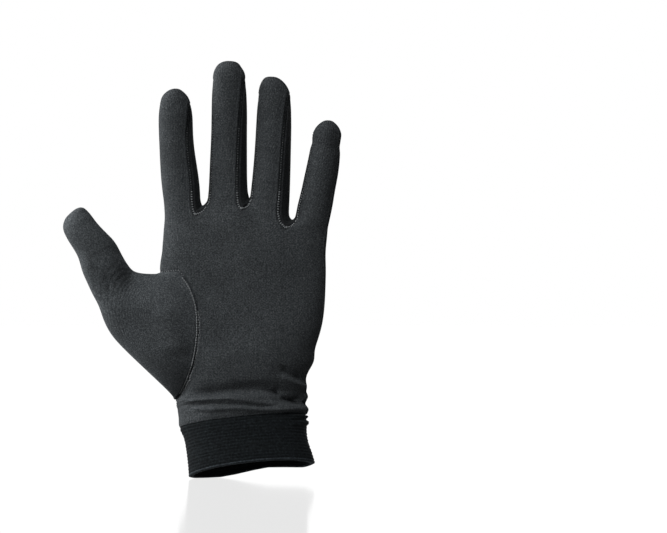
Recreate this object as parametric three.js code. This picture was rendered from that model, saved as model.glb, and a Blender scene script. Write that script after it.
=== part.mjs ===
// A knitted glove liner for the left hand, filled as if it were worn: the palm faces -Y, the fingers
// point to +Z and the thumb lies on the -X side. The origin is the centre of the cuff's mouth, where
// the hand goes in. Lengths are in millimetres and angles in degrees.
//
// The outside of the glove is one net of four-cornered cells. Each cell belongs to a cut piece of
// cloth, and each cut piece becomes a thin closed wall of its own, with a narrow gap at its seams.
import * as THREE from "three";

// A table of named columns: one object for each row of values.
function table(columns, rows) {
  return rows.map((row) => Object.fromEntries(columns.map((column, i) => [column, row[i]])));
}

// Cloth
const clothWall = 1;
const cuffWall = 2;
const seamGap = 0.3;

// Cuff, measured at its mouth and along its length
const cuffWidth = 73.8;
const cuffDepth = 38;
const cuffLength = 28;

// Hand from the cuff's seam to the finger bases
const wristLength = 19;
const thumbSeamLength = 69;
const knuckleLength = 31;
const palmWidth = 96;
const palmDepth = 30;
const palmSetBack = 8;
const foldHeight = 2.2;

// Thumb and the oval seam that it is set in
const thumbReach = 54;
const thumbRise = 73;
const thumbWidth = 20.5;
const thumbDepth = 17.2;
const thumbForward = 25;
const thumbHollow = 3;

// Fingers: the middle finger's length and width, then the depth and the curl towards the palm of all.
// centre is where a finger's base lies, as a share of the palm's width. length and width are shares
// of the middle finger's, lean is to the side, and roll turns the finger's strips round towards the
// palm on the little finger's side.
const fingerLength = 89.4;
const fingerWidth = 20.8;
const fingerDepth = 17;
const fingerCurl = 9;
const fingers = table(["name", "centre", "length", "width", "lean", "roll"], [
  ["index", -0.415, 0.8445, 0.9615, -3.6, 13],
  ["middle", -0.14, 1, 1, 0.7, 18],
  ["ring", 0.119, 0.9418, 0.9808, 1.8, 20],
  ["little", 0.369, 0.7114, 0.9231, 9.2, 16],
]);

// The three crotches between neighbouring fingers. across is a share of the palm's width and up is a
// share of the knuckles' length. arch is how far the gap's end stands above the lowest point of the
// strip on the palm, as a share of the middle crotch's.
const crotchSlant = 4;
const crotchArch = 7;
const crotches = table(["across", "up", "arch"], [
  [-0.296, 1.039, 0.843],
  [-0.0125, 1.155, 1],
  [0.25, 0.781, 0.8],
]);

// Cells along and around the net
const cuffRows = 6;
const wristRows = 6;
const thumbRows = 8;
const knuckleRows = 4;
const sideCells = 4;
const frontCells = 4;

// Sections of the hand from the cuff's mouth up. z is the level of a section and zone is the length
// of the zone that it belongs to. left, right and depth are shares of width and deep, which are the
// cuff's or the palm's, and back is a share of the set-back. radialUp and ulnarUp are shares of the
// zone's length by which the row stands above its own level at the thumb side and at the little
// finger side, and tilt is the rise of its front per unit of depth. frontIn and backIn are the shares
// of the half width at which the thumb side's corners lie.
const mouthLevel = 0;
const seamLevel = mouthLevel + cuffLength;
const halfCuffLevel = mouthLevel + cuffLength / 2;
const wristLevel = seamLevel + wristLength;
const crotchLevel = wristLevel + thumbSeamLength;
const halfSeamLevel = wristLevel + thumbSeamLength / 2;
const baseLevel = crotchLevel + knuckleLength;
const inCuff = { width: cuffWidth, deep: cuffDepth, zone: cuffLength };
const inWrist = { width: palmWidth, deep: palmDepth, zone: wristLength };
const inThumbSeam = { width: palmWidth, deep: palmDepth, zone: thumbSeamLength };
const inKnuckles = { width: palmWidth, deep: palmDepth, zone: knuckleLength };
const sectionColumns = [
  ...["part", "z", "left", "right", "depth", "back"],
  ...["radialUp", "ulnarUp", "tilt", "frontIn", "backIn"],
];
const sections = table(sectionColumns, [
  [inCuff, mouthLevel, -0.49, 0.51, 1, 0, -0.13, 0.16, 0.19, 0.86, 0.86],
  [inCuff, halfCuffLevel, -0.51, 0.45, 0.95, 0.5, -0.14, 0.12, 0.23, 0.87, 0.87],
  [inCuff, seamLevel, -0.545, 0.443, 0.97, 1, -0.16, 0.11, 0.23, 0.88, 0.88],
  [inWrist, wristLevel, -0.447, 0.332, 1.27, 1.12, -0.24, 0.28, 0.06, 0.84, 0.93],
  [inThumbSeam, halfSeamLevel, -0.51, 0.436, 1.1, 1.06, -0.04, 0.04, 0, 0.84, 0.95],
  [inKnuckles, crotchLevel, -0.558, 0.46, 0.93, 1, 0.02, 0, 0, 0.78, 0.95],
  [inKnuckles, baseLevel, -0.525, 0.472, 0.74, 1, 0, -0.18, 0, 0.985, 0.9],
]).map((row) => ({
  ...row,
  zone: row.part.zone,
  left: row.part.width * row.left,
  right: row.part.width * row.right,
  halfDepth: (row.part.deep * row.depth) / 2,
}));
const ulnarFrontIn = 0.93;
const ulnarBackIn = 0.985;
const sectionPower = 2.3;
const webDip = 0.06 * knuckleLength;
const heelDip = 0.17 * wristLength;
const mouthWave = 0.04 * cuffLength;

// The seam of the thumb on the palm, from its lower end up: how far it lies from the palm's middle
// line, as a share of the palm's width.
const thumbSeam = table(["x"], [
  [-0.447], [-0.378], [-0.34], [-0.327], [-0.317], [-0.318], [-0.331], [-0.367], [-0.436],
]);

// The folds where the cloth gathers above the cuff. radial and ulnar are the heights of the row as
// shares of the wrist, and out is how far it stands out, as a share of the fold's height.
const folds = table(["radial", "ulnar", "out"], [
  [0, 0, -0.25],
  [0.56, 0.14, 1],
  [0.66, 0.31, -0.45],
  [0.75, 0.47, 0.75],
  [0.83, 0.63, -0.6],
  [0.9, 0.8, 0.12],
  [1, 1, 0],
]);
const foldOnBack = 0.3;
const foldOnThumbSide = 0.1;

// Rows up a finger. Each finger's column holds its width there as a share of its own, depth is a share
// of the finger's depth, and strip is half the angle that the strip between two fingers takes of the
// finger's outline.
const fingerRows = table(["at", "index", "middle", "ring", "little", "depth", "strip"], [
  [0.05, 1.09, 1.19, 1.12, 1.06, 1.14, 42],
  [0.12, 1.06, 1.11, 1.1, 1.07, 1.08, 42],
  [0.22, 1.12, 1.06, 1.08, 1.09, 1.03, 41],
  [0.35, 1.09, 1.03, 1.04, 1.01, 1.02, 39],
  [0.5, 1, 0.98, 1, 1, 1, 36],
  [0.65, 0.96, 0.97, 0.98, 0.93, 0.96, 31],
  [0.78, 0.97, 0.95, 0.95, 0.85, 0.92, 22],
  [0.87, 0.89, 0.92, 0.92, 0.8, 0.84, 10],
  [0.93, 0.77, 0.85, 0.77, 0.7, 0.7, 26],
  [0.97, 0.5, 0.64, 0.5, 0.42, 0.46, 40],
]);
const stripRows = 8;

// How far each finger's middle line lies to the side of a straight one, as a share of its width.
const fingerBends = table(["at", "index", "middle", "ring", "little"], [
  [0, 0.02, 0, -0.04, 0],
  [0.3, -0.01, 0, 0.01, 0.03],
  [0.6, -0.06, 0.02, 0.03, 0.08],
  [0.87, 0, 0, 0.02, 0.03],
  [1, 0, 0, -0.06, 0],
]);

// Sections of the thumb from its seam to its tip. reach, rise and forward are shares of the thumb's
// own, width and depth are shares of its width and depth, and turn is the angle of the section to the
// vertical. hollow is the share of the hollow below the web on the palm side, and own is how far the
// section has left the seam's outline for its own.
const thumbColumns = ["reach", "rise", "forward", "width", "depth", "turn", "hollow", "own"];
const thumbSections = table(thumbColumns, [
  [0.06, 0.04, 0.3, 3.3, 1.75, -8, 0, 0.34],
  [0.18, 0.108, 0.38, 2.94, 1.65, -5, 0.3, 0.7],
  [0.3, 0.176, 0.46, 2.51, 1.52, 2, 0.8, 0.92],
  [0.42, 0.248, 0.54, 2.14, 1.4, 11, 1, 1],
  [0.506, 0.321, 0.61, 1.92, 1.32, 19, 0.7, 1],
  [0.587, 0.453, 0.69, 1.53, 1.22, 30, 0.2, 1],
  [0.671, 0.564, 0.77, 1.43, 1.18, 37, 0, 1],
  [0.74, 0.663, 0.84, 1.32, 1.12, 42, 0, 1],
  [0.812, 0.78, 0.91, 1.03, 1.05, 52, 0, 1],
  [0.905, 0.867, 0.96, 0.99, 0.98, 59, 0, 1],
  [0.962, 0.945, 0.99, 0.94, 0.87, 64, 0, 1],
  [0.976, 1.012, 1, 0.66, 0.58, 68, 0, 1],
]);
const thumbTipShare = { reach: 0.98, rise: 1.055, forward: 1 };
const thumbRoot = { x: -0.52 * palmWidth, z: wristLevel + 0.42 * thumbSeamLength };

const rad = THREE.MathUtils.degToRad;
const lerp = THREE.MathUtils.lerp;
const clamp = THREE.MathUtils.clamp;

// The value of a named column of a table at a place between its rows, on a smooth curve through them.
function smoothAt(rows, column, place) {
  const low = clamp(Math.floor(place), 0, rows.length - 2);
  const t = place - low;
  const value = (i) => rows[clamp(i, 0, rows.length - 1)][column];
  const [a, b, c, d] = [value(low - 1), value(low), value(low + 1), value(low + 2)];
  return b + 0.5 * t * (c - a + t * (2 * a - 5 * b + 4 * c - d + t * (3 * (b - c) + d - a)));
}

// The value of a column where the table's own "at" column reaches a given share.
function columnAt(rows, column, share) {
  const next = clamp(rows.findIndex((row) => row.at >= share), 1, rows.length - 1);
  const [low, high] = [rows[next - 1], rows[next]];
  return lerp(low[column], high[column], clamp((share - low.at) / (high.at - low.at), 0, 1));
}

// The net of the glove's outside
const points = [];
const cells = [];

function addPoint(x, y, z) {
  points.push(new THREE.Vector3(x, y, z));
  return points.length - 1;
}

function addCell(piece, a, b, c, d) {
  cells.push({ piece, corners: [a, b, c, d] });
}

// Columns around the hand: along the palm, round the little finger's side, along the back and round
// the thumb's side.
const acrossCells = fingers.length * frontCells;
const ringCells = 2 * (acrossCells + sideCells);
const ulnarBack = acrossCells + sideCells;
const radialBack = ulnarBack + acrossCells;
const seamRow = cuffRows;
const wristRow = seamRow + wristRows;
const crotchRow = wristRow + thumbRows;
const baseRow = crotchRow + knuckleRows;

// A row's place among the sections: each zone has its own number of rows.
function stationOf(row) {
  if (row <= seamRow) return (2 * row) / cuffRows;
  if (row <= wristRow) return 2 + (row - seamRow) / wristRows;
  if (row <= crotchRow) return 3 + (2 * (row - wristRow)) / thumbRows;
  return 5 + (row - crotchRow) / knuckleRows;
}

function sectionAt(station) {
  const get = (column) => smoothAt(sections, column, station);
  const [left, right] = [get("left"), get("right")];
  return {
    middle: (left + right) / 2,
    halfWidth: (right - left) / 2,
    halfDepth: get("halfDepth"),
    centreY: palmSetBack * get("back"),
    tilt: get("tilt"),
    frontIn: get("frontIn"),
    backIn: get("backIn"),
  };
}

// Where a row lies at the thumb side and at the little finger side.
function levelsOf(row) {
  const level = (section, side) => section.z + section.zone * section[side];
  const [seam, wrist] = [sections[2], sections[3]];
  if (row > seamRow && row < wristRow) {
    const fold = folds[row - seamRow];
    return {
      radial: lerp(level(seam, "radialUp"), level(wrist, "radialUp"), fold.radial),
      ulnar: lerp(level(seam, "ulnarUp"), level(wrist, "ulnarUp"), fold.ulnar),
    };
  }
  const station = stationOf(row);
  const low = Math.min(Math.floor(station), sections.length - 2);
  const share = station - low;
  return {
    radial: lerp(level(sections[low], "radialUp"), level(sections[low + 1], "radialUp"), share),
    ulnar: lerp(level(sections[low], "ulnarUp"), level(sections[low + 1], "ulnarUp"), share),
  };
}

// The columns keep the same shares of the palm from the cuff up to the crotches that they end in.
const base = sectionAt(sections.length - 1);
const baseCorner = (side, inward) => base.middle + side * inward * base.halfWidth;

function sharesBetween(first, last, slant) {
  const stops = [first, ...crotches.map((crotch) => palmWidth * crotch.across + slant), last];
  return Array.from({ length: acrossCells + 1 }, (_, column) => {
    const finger = Math.min(Math.floor(column / frontCells), fingers.length - 1);
    const x = lerp(stops[finger], stops[finger + 1], column / frontCells - finger);
    return (x - first) / (last - first);
  });
}

const frontEnds = [baseCorner(-1, base.frontIn), baseCorner(1, ulnarFrontIn)];
const backEnds = [baseCorner(-1, base.backIn), baseCorner(1, ulnarBackIn)];
const frontShares = sharesBetween(...frontEnds, -crotchSlant);
const backShares = sharesBetween(...backEnds, crotchSlant);

// The level of the finger bases at each column: each finger's base stands a little higher between
// its crotches.
const baseArch = 1.5;

function baseStops() {
  const { radial, ulnar } = levelsOf(baseRow);
  return [radial, ...crotches.map((crotch) => crotchLevel + knuckleLength * crotch.up), ulnar];
}

function baseLevelAt(column) {
  const stops = baseStops();
  const finger = Math.min(Math.floor(column / frontCells), fingers.length - 1);
  const share = column / frontCells - finger;
  return lerp(stops[finger], stops[finger + 1], share) + baseArch * Math.sin(Math.PI * share);
}

// How far in towards the thumb side the palm's first column lies: beside the thumb it follows the seam.
function seamInward(row, section) {
  if (row < wristRow || row > crotchRow) return section.frontIn;
  const share = (row - wristRow) / thumbRows;
  const x = palmWidth * smoothAt(thumbSeam, "x", share * (thumbSeam.length - 1));
  return (section.middle - x) / section.halfWidth;
}

function angleOf(inward, behind) {
  const angle = Math.acos(Math.sign(inward) * Math.pow(Math.abs(inward), sectionPower / 2));
  return behind ? angle : 2 * Math.PI - angle;
}

function columnAngle(row, column, section) {
  const inFront = -seamInward(row, section);
  const front = (share) => angleOf(lerp(inFront, ulnarFrontIn, share), false);
  const behind = (share) => angleOf(lerp(-section.backIn, ulnarBackIn, share), true);
  if (column <= acrossCells) return front(frontShares[column]);
  if (column < ulnarBack)
    return lerp(front(1), behind(1) + 2 * Math.PI, (column - acrossCells) / sideCells);
  if (column <= radialBack) return behind(backShares[radialBack - column]);
  return lerp(behind(0), front(0), (column - radialBack) / sideCells);
}

// How much of a fold shows at an angle round the wrist: most on the palm and on the little finger's side.
function foldShare(angle) {
  const across = (1 + Math.cos(angle)) / 2;
  const behind = Math.max(0, Math.sin(angle));
  return lerp(foldOnThumbSide, 1, Math.pow(across, 0.6)) * lerp(1, foldOnBack, behind);
}

function handPoint(row, column) {
  const section = sectionAt(stationOf(row));
  const angle = columnAngle(row, column, section);
  const power = 2 / sectionPower;
  const across = Math.sign(Math.cos(angle)) * Math.pow(Math.abs(Math.cos(angle)), power);
  const away = Math.sign(Math.sin(angle)) * Math.pow(Math.abs(Math.sin(angle)), power);
  const fold = row >= seamRow && row <= wristRow ? folds[row - seamRow].out : 0;
  const out = foldHeight * fold * foldShare(angle);
  const x = section.middle + (section.halfWidth + out) * across;
  const y = section.centreY + (section.halfDepth + out) * away;
  const levels = levelsOf(row);
  const share = (1 + across) / 2;
  let z = lerp(levels.radial, levels.ulnar, share) - section.tilt * (y - section.centreY);
  const knuckle = clamp((row - crotchRow) / knuckleRows, 0, 1);
  if (knuckle > 0) {
    const inFront = column <= ulnarBack;
    const place = inFront ? Math.min(column, acrossCells) : Math.max(radialBack - column, 0);
    const crotchLevels = levelsOf(crotchRow);
    const low = lerp(crotchLevels.radial, crotchLevels.ulnar, share);
    z = lerp(low, baseLevelAt(place), knuckle);
  }
  const atEdge = Math.pow(clamp(-across, 0, 1), 6);
  const nearWeb = Math.max(0, 1 - Math.abs(row - crotchRow) / knuckleRows);
  const nearHeel = row <= wristRow ? clamp((row - seamRow) / wristRows, 0, 1) : 0;
  const nearMouth = Math.pow(clamp(1 - row / cuffRows, 0, 1), 2);
  z -= atEdge * (webDip * nearWeb + heelDip * nearHeel);
  z -= mouthWave * Math.cos(2 * angle) * nearMouth;
  return addPoint(x, y, z);
}

const hand = Array.from({ length: baseRow + 1 }, (_, row) =>
  Array.from({ length: ringCells }, (_, column) => handPoint(row, column)),
);
const handAt = (row, column) => hand[row][column % ringCells];

function handPiece(row, column) {
  if (row < seamRow) return "cuff";
  const inPalm = column < acrossCells + sideCells / 2 || column >= radialBack + sideCells / 2;
  return inPalm ? "palm_panel" : "back_panel";
}

for (let row = 0; row < baseRow; row++)
  for (let column = 0; column < ringCells; column++) {
    const inThumbHole = row >= wristRow && row < crotchRow && column >= radialBack;
    if (inThumbHole) continue;
    addCell(
      handPiece(row, column),
      handAt(row, column),
      handAt(row, column + 1),
      handAt(row + 1, column + 1),
      handAt(row + 1, column),
    );
  }

// Joins two rings of the same number of points with cells whose piece a function names.
function addRows(lower, upper, pieceOf) {
  lower.forEach((_, column) => {
    const next = (column + 1) % lower.length;
    addCell(pieceOf(column), lower[column], lower[next], upper[next], upper[column]);
  });
}

// Closes a ring with a domed grid of cells. The ring runs along the front, one end, the back and the
// other end.
function addCap(ring, across, deep, apex, pieceOf) {
  const at = (index) => points[ring[(index + ring.length) % ring.length]];
  const grid = Array.from({ length: across + 1 }, () => Array(deep + 1).fill(-1));
  for (let i = 0; i <= across; i++) {
    grid[i][0] = ring[i];
    grid[i][deep] = ring[2 * across + deep - i];
  }
  for (let j = 0; j <= deep; j++) {
    grid[across][j] = ring[across + j];
    grid[0][j] = ring[(ring.length - j) % ring.length];
  }
  const sum = ring.reduce((total, i) => total.add(points[i]), new THREE.Vector3());
  const centre = sum.divideScalar(ring.length);
  const rise = apex.clone().sub(centre);
  for (let i = 1; i < across; i++)
    for (let j = 1; j < deep; j++) {
      const [s, t] = [i / across, j / deep];
      const alongDepth = at(i).clone().lerp(at(2 * across + deep - i), t);
      const alongWidth = at(ring.length - j).clone().lerp(at(across + j), s);
      const nearCorners = at(0).clone().lerp(at(across), s);
      const farCorners = at(2 * across + deep).clone().lerp(at(across + deep), s);
      const fromCorners = nearCorners.lerp(farCorners, t);
      const dome = (1 - Math.pow(2 * s - 1, 2)) * (1 - Math.pow(2 * t - 1, 2));
      const place = alongDepth.add(alongWidth).sub(fromCorners).addScaledVector(rise, dome);
      grid[i][j] = addPoint(place.x, place.y, place.z);
    }
  for (let i = 0; i < across; i++)
    for (let j = 0; j < deep; j++)
      addCell(pieceOf(i, j), grid[i][j], grid[i + 1][j], grid[i + 1][j + 1], grid[i][j + 1]);
}

// The line along each crotch from the palm to the back, as high in its middle as the gap's end.
const crotchLines = crotches.map((crotch, index) => {
  const column = (index + 1) * frontCells;
  const front = points[handAt(baseRow, column)];
  const behind = points[handAt(baseRow, radialBack - column)];
  const inner = Array.from({ length: sideCells - 1 }, (_, i) => {
    const share = (i + 1) / sideCells;
    const place = front.clone().lerp(behind, share);
    const lift = crotchArch * crotch.arch * Math.sin(Math.PI * share);
    return addPoint(place.x, place.y, place.z + lift);
  });
  return [handAt(baseRow, column), ...inner, handAt(baseRow, radialBack - column)];
});

const fingerRing = 2 * (frontCells + sideCells);
const stripNames = ["strip_index_middle", "strip_middle_ring", "strip_ring_little"];

function fingerBase(index) {
  const first = index * frontCells;
  const front = Array.from({ length: frontCells + 1 }, (_, i) => handAt(baseRow, first + i));
  const backFirst = radialBack - first - frontCells;
  const behind = Array.from({ length: frontCells + 1 }, (_, i) => handAt(baseRow, backFirst + i));
  const outerSide = (from) =>
    Array.from({ length: sideCells - 1 }, (_, i) => handAt(baseRow, from + 1 + i));
  const between = (line) => line.slice(1, -1);
  const ulnarSide = index < crotches.length ? between(crotchLines[index]) : outerSide(acrossCells);
  const radialSide = index > 0 ? between(crotchLines[index - 1]).reverse() : outerSide(radialBack);
  return [...front, ...ulnarSide, ...behind, ...radialSide];
}

// The angles of the finger's four corners: the strips between fingers lie round 0 and 180 degrees,
// turned by the roll.
function fingerAngle(column, strip, roll) {
  const part = Math.floor(column / frontCells);
  const share = column / frontCells - part;
  const corners = [180 + strip, 360 - strip, 360 + strip, 540 - strip, 540 + strip];
  return rad(lerp(corners[part], corners[part + 1], share) - roll);
}

function addFinger(finger, index) {
  const [leftLevel, rightLevel] = baseStops().slice(index, index + 2);
  const baseZ = (leftLevel + rightLevel) / 2;
  const arches = [crotches[index - 1]?.arch ?? 0, crotches[index]?.arch ?? 0];
  const length = fingerLength * finger.length;
  const width = fingerWidth * finger.width;
  const run = length * Math.sin(rad(finger.lean));
  const bend = (share) => width * columnAt(fingerBends, finger.name, share);
  const centreAt = (share) => ({
    x: palmWidth * finger.centre + run * share + bend(share),
    y: palmSetBack - fingerCurl * share * share,
    z: baseZ + length * share,
  });
  const pieceOf = (row) => (column) => {
    const side = Math.floor(column / frontCells);
    if (side === 0) return "palm_panel";
    if (side === 2) return "back_panel";
    const neighbour = side === 1 ? index : index - 1;
    if (row < stripRows && stripNames[neighbour]) return stripNames[neighbour];
    const firstHalf = column % frontCells < frontCells / 2;
    return firstHalf === (side === 1) ? "palm_panel" : "back_panel";
  };
  let lower = fingerBase(index);
  fingerRows.forEach((row, rowIndex) => {
    const centre = centreAt(row.at);
    const settle = Math.pow(Math.max(0, 1 - row.at / 0.25), 2);
    const slant = ((rightLevel - leftLevel) / 2) * Math.pow(1 - row.at, 2);
    const upper = Array.from({ length: fingerRing }, (_, column) => {
      const angle = fingerAngle(column, row.strip, finger.roll);
      const part = Math.floor(column / frontCells);
      const onSide = part % 2 === 1 ? Math.sin((Math.PI * (column % frontCells)) / frontCells) : 0;
      const lift = crotchArch * arches[part === 1 ? 1 : 0] * onSide * settle;
      return addPoint(
        centre.x + ((width * row[finger.name]) / 2) * Math.cos(angle),
        centre.y + ((fingerDepth * row.depth) / 2) * Math.sin(angle),
        centre.z + lift + slant * Math.cos(angle),
      );
    });
    addRows(lower, upper, pieceOf(rowIndex));
    lower = upper;
  });
  const tip = centreAt(1);
  addCap(lower, frontCells, sideCells, new THREE.Vector3(tip.x, tip.y, tip.z), (i, j) =>
    j < sideCells / 2 ? "palm_panel" : "back_panel",
  );
}

fingers.forEach(addFinger);

// The thumb starts on the edge of the hole in the palm and back, and runs out to its tip.
const thumbBase = [
  ...Array.from({ length: thumbRows }, (_, i) => handAt(wristRow + i, 0)),
  ...Array.from({ length: sideCells }, (_, i) => handAt(crotchRow, ringCells - i)),
  ...Array.from({ length: thumbRows }, (_, i) => handAt(crotchRow - i, radialBack)),
  ...Array.from({ length: sideCells }, (_, i) => handAt(wristRow, radialBack + i)),
];
const thumbEndAngle = 32;
const hollowAngle = rad(132);
const hollowSpread = rad(28);

// Angles round the thumb from its lower edge, along the palm's side to the upper edge, and back behind.
function thumbAngle(column) {
  const ends = [0, 180, 180, 360, 360];
  const stops = ends.map((end, i) => end + (i % 2 ? -thumbEndAngle : thumbEndAngle));
  const starts = [0, thumbRows, thumbRows + sideCells, 2 * thumbRows + sideCells, thumbBase.length];
  const part = starts.findIndex((start) => start > column) - 1;
  const share = (column - starts[part]) / (starts[part + 1] - starts[part]);
  return rad(lerp(stops[part], stops[part + 1], share));
}

function thumbCentre(section) {
  return new THREE.Vector3(
    thumbRoot.x - thumbReach * section.reach,
    palmSetBack - thumbForward * section.forward,
    thumbRoot.z + thumbRise * section.rise,
  );
}

let thumbLower = thumbBase;
for (const section of thumbSections) {
  const centre = thumbCentre(section);
  const along = new THREE.Vector3(Math.sin(rad(section.turn)), 0, Math.cos(rad(section.turn)));
  const upper = thumbBase.map((start, column) => {
    const angle = thumbAngle(column);
    const own = centre
      .clone()
      .addScaledVector(along, (-thumbWidth * section.width * Math.cos(angle)) / 2)
      .add(new THREE.Vector3(0, (-thumbDepth * section.depth * Math.sin(angle)) / 2, 0));
    const fromHollow = (angle - hollowAngle) / hollowSpread;
    own.y += thumbHollow * section.hollow * Math.exp(-fromHollow * fromHollow);
    const place = points[start].clone().lerp(own, section.own);
    return addPoint(place.x, place.y, place.z);
  });
  addRows(thumbLower, upper, () => "thumb");
  thumbLower = upper;
}
addCap(thumbLower, thumbRows, sideCells, thumbCentre(thumbTipShare), () => "thumb");

// The way out of the cloth at each point of the net, from all the cells that meet there.
function outwardNormals() {
  const normals = points.map(() => new THREE.Vector3());
  for (const { corners } of cells) {
    const [a, b, c, d] = corners.map((corner) => points[corner]);
    const normal = c.clone().sub(a).cross(d.clone().sub(b));
    for (const corner of corners) normals[corner].add(normal);
  }
  return normals.map((normal) => normal.normalize());
}

const normals = outwardNormals();

// The edges that only one cell of a piece has, each in that cell's direction.
function borderOf(pieceCells) {
  const edges = new Map();
  for (const { corners } of pieceCells)
    corners.forEach((corner, i) => {
      const next = corners[(i + 1) % 4];
      edges.set(`${corner} ${next}`, [corner, next]);
    });
  return [...edges.values()].filter(([a, b]) => !edges.has(`${b} ${a}`));
}

// How far each border point of a piece draws back from the seam, along the cloth. The border runs
// with the piece on its left, and a sharp corner draws back further, so that the gap keeps its width.
function drawBack(border) {
  const before = new Map(border.map(([from, to]) => [to, from]));
  const shifts = new Map();
  for (const [point, after] of border) {
    const arriving = points[point].clone().sub(points[before.get(point)]).normalize();
    const leaving = points[after].clone().sub(points[point]).normalize();
    const along = arriving.add(leaving);
    const corner = clamp(along.length() / 2, 0.4, 1);
    shifts.set(point, normals[point].clone().cross(along).setLength(seamGap / 2 / corner));
  }
  return shifts;
}

// One cut piece as a closed wall: its outside, its inside and the rim between them.
function wallOf(name, wall) {
  const pieceCells = cells.filter((cell) => cell.piece === name);
  const border = borderOf(pieceCells);
  const shifts = drawBack(border);
  const used = [...new Set(pieceCells.flatMap((cell) => cell.corners))];
  const order = new Map(used.map((point, i) => [point, i]));
  const still = new THREE.Vector3();
  const outside = used.map((point) => points[point].clone().add(shifts.get(point) ?? still));
  const inside = outside.map((at, i) => at.clone().addScaledVector(normals[used[i]], -wall));
  const positions = [...outside, ...inside].flatMap((place) => place.toArray());
  const inner = (i) => i + used.length;
  const triangles = [];
  for (const { corners } of pieceCells) {
    const [a, b, c, d] = corners.map((corner) => order.get(corner));
    triangles.push(a, b, c, a, c, d);
    triangles.push(inner(a), inner(c), inner(b), inner(a), inner(d), inner(c));
  }
  // Both pieces at a seam split the rim along the same diagonal, so that they stay apart in a twist.
  for (const [from, to] of border) {
    const [a, b] = [order.get(from), order.get(to)];
    if (from < to) triangles.push(b, a, inner(b), a, inner(a), inner(b));
    else triangles.push(b, a, inner(a), b, inner(a), inner(b));
  }
  const geometry = new THREE.BufferGeometry();
  geometry.setAttribute("position", new THREE.Float32BufferAttribute(positions, 3));
  geometry.setIndex(triangles);
  geometry.computeVertexNormals();
  return geometry;
}

// Charcoal jersey for the hand, and a blacker elastic rib for the cuff
const jersey = { color: 0x3a3d3f, roughness: 0.85, metalness: 0 };
const rib = { color: 0x1b2224, roughness: 0.95, metalness: 0 };
const pieces = [
  { name: "palm_panel", wall: clothWall, finish: jersey },
  { name: "back_panel", wall: clothWall, finish: jersey },
  ...stripNames.map((name) => ({ name, wall: clothWall, finish: jersey })),
  { name: "thumb", wall: clothWall, finish: jersey },
  { name: "cuff", wall: cuffWall, finish: rib },
];

const glove = new THREE.Group();
for (const { name, wall, finish } of pieces) {
  const mesh = new THREE.Mesh(wallOf(name, wall), new THREE.MeshStandardMaterial(finish));
  mesh.name = name;
  glove.add(mesh);
}

export default glove;
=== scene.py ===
import math

import bpy
import numpy as np
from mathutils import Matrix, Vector, kdtree, noise
from mathutils.bvhtree import BVHTree


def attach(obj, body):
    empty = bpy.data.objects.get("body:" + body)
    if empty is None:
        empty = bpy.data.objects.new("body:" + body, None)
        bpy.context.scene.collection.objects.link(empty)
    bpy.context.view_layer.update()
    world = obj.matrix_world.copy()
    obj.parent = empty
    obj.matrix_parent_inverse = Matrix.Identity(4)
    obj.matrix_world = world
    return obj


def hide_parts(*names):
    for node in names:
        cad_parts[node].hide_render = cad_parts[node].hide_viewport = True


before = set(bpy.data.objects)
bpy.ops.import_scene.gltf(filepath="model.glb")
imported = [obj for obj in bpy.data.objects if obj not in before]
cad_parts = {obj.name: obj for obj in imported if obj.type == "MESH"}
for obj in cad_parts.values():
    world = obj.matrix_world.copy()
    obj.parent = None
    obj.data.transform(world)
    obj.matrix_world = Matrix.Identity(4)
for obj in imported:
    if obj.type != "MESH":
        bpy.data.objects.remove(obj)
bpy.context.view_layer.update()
mm = 0.001
print("frame loaded, nodes:", sorted(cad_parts))


# small tools

def srgb(code):
    # a hex colour as seen on screen, turned to the linear values that a shader needs
    parts = [int(code[i:i + 2], 16) / 255 for i in (1, 3, 5)]
    return [c / 12.92 if c <= 0.04045 else ((c + 0.055) / 1.055) ** 2.4 for c in parts] + [1.0]


def addNode(tree, kind, settings=None, links=None):
    # settings go to the node's own fields or to its sockets by name or number; links name a socket to feed
    node = tree.nodes.new(kind)
    for key, value in (settings or {}).items():
        if isinstance(key, str) and hasattr(node, key):
            setattr(node, key, value)
        else:
            node.inputs[key].default_value = value
    for key, source in (links or {}).items():
        tree.links.new(source, node.inputs[key])
    return node


def setRamp(node, stops):
    ramp = node.color_ramp
    while len(ramp.elements) < len(stops):
        ramp.elements.new(0.5)
    for element, (place, colour) in zip(ramp.elements, stops):
        element.position = place
        element.color = colour


def selectOnly(*objects):
    if bpy.context.mode != "OBJECT":
        bpy.ops.object.mode_set(mode="OBJECT")
    bpy.ops.object.select_all(action="DESELECT")
    for each in objects:
        each.select_set(True)
    bpy.context.view_layer.objects.active = objects[0]


def applyModifier(piece, kind, **settings):
    selectOnly(piece)
    modifier = piece.modifiers.new(kind.title(), kind)
    for key, value in settings.items():
        setattr(modifier, key, value)
    bpy.ops.object.modifier_apply(modifier=modifier.name)


def readPoints(piece):
    flat = np.empty(len(piece.data.vertices) * 3)
    piece.data.vertices.foreach_get("co", flat)
    return flat.reshape(-1, 3)


def writePoints(piece, points):
    piece.data.vertices.foreach_set("co", points.ravel())
    piece.data.update()


def readNormals(piece):
    flat = np.empty(len(piece.data.vertices) * 3)
    piece.data.vertices.foreach_get("normal", flat)
    return flat.reshape(-1, 3)


def readWeights(piece, name):
    group = piece.vertex_groups[name].index
    weights = np.zeros(len(piece.data.vertices))
    for vertex in piece.data.vertices:
        for item in vertex.groups:
            if item.group == group:
                weights[vertex.index] = item.weight
    return weights


# camera, light and stage

# The picture is 667 x 533 px. At the glove 1 mm is 1.7 px, the origin lies at px (250.5, 468), and a long
# lens (mm) keeps the outline nearly parallel. It is aimed 5 mm behind the origin.
view = {
    "pxPerMm": 1.7, "originPx": (250.5, 468), "framePx": (667, 533), "lens": 220, "sensor": 36,
    "aimDepth": 5, "farthest": 100,
}


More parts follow.
